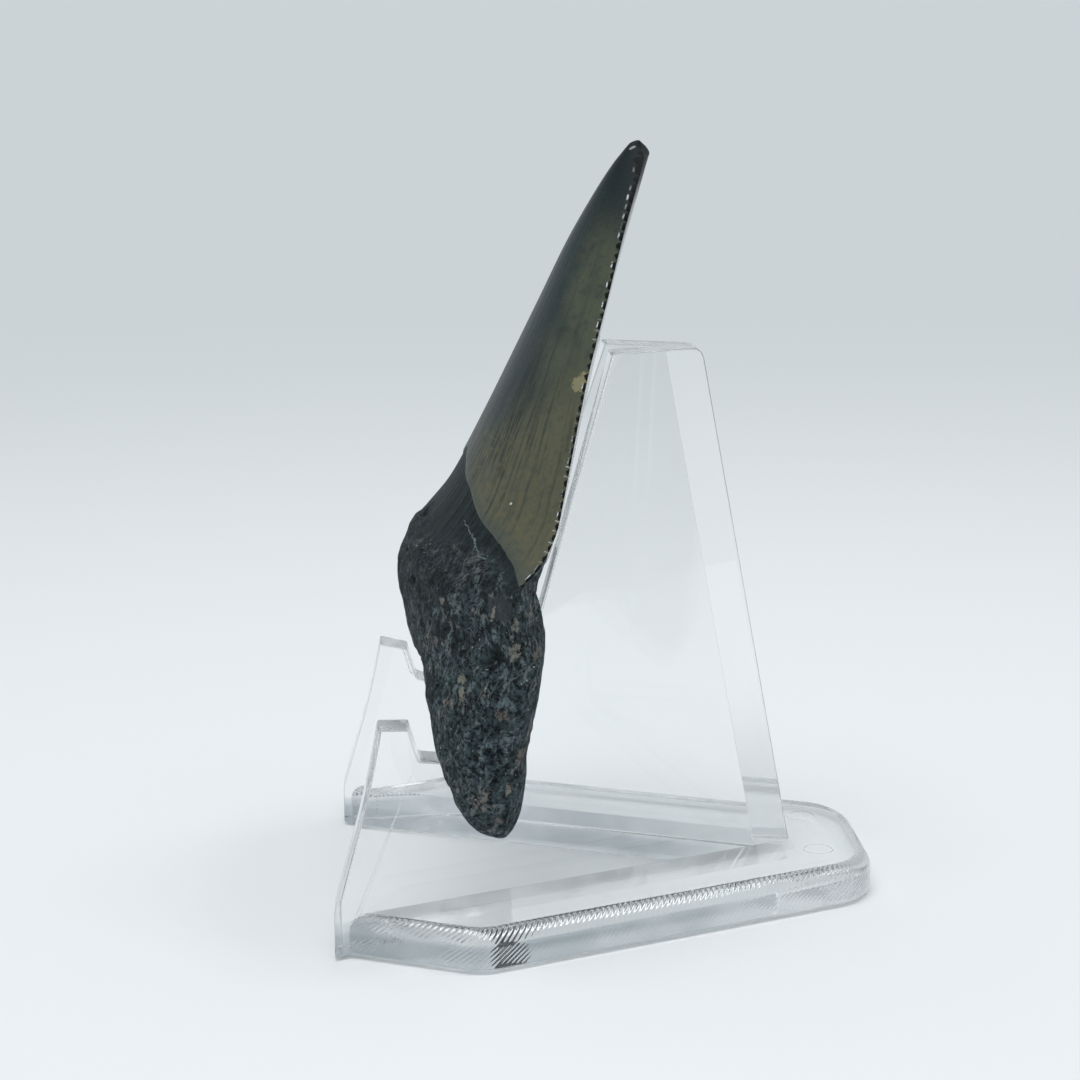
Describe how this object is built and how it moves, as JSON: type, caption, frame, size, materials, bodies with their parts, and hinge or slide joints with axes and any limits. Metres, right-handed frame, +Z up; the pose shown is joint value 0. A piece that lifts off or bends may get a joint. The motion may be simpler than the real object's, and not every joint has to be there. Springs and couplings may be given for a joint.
{
  "type": "fossil shark tooth on a display stand",
  "caption": "Serrated fossil shark tooth leaning upright in the notch of a clear V-shaped display stand.",
  "frame": {"origin": "centre of the footprint, on the table", "axes": "+Z up; -Y towards the viewer in front of the display, where the V opens and the tooth's convex tongue side faces; +X to that viewer's right"},
  "size_m": [0.0444, 0.0444, 0.0616],
  "materials": {
    "tooth": "fossil enamel, satin olive-brown with slate streaks; matt, pitted black-grey root",
    "clear_acrylic": "clear moulded acrylic, polished faces"
  },
  "bodies": {
    "root": {"tooth": "tooth", "display_stand": "clear_acrylic"}
  },
  "joints": []
}
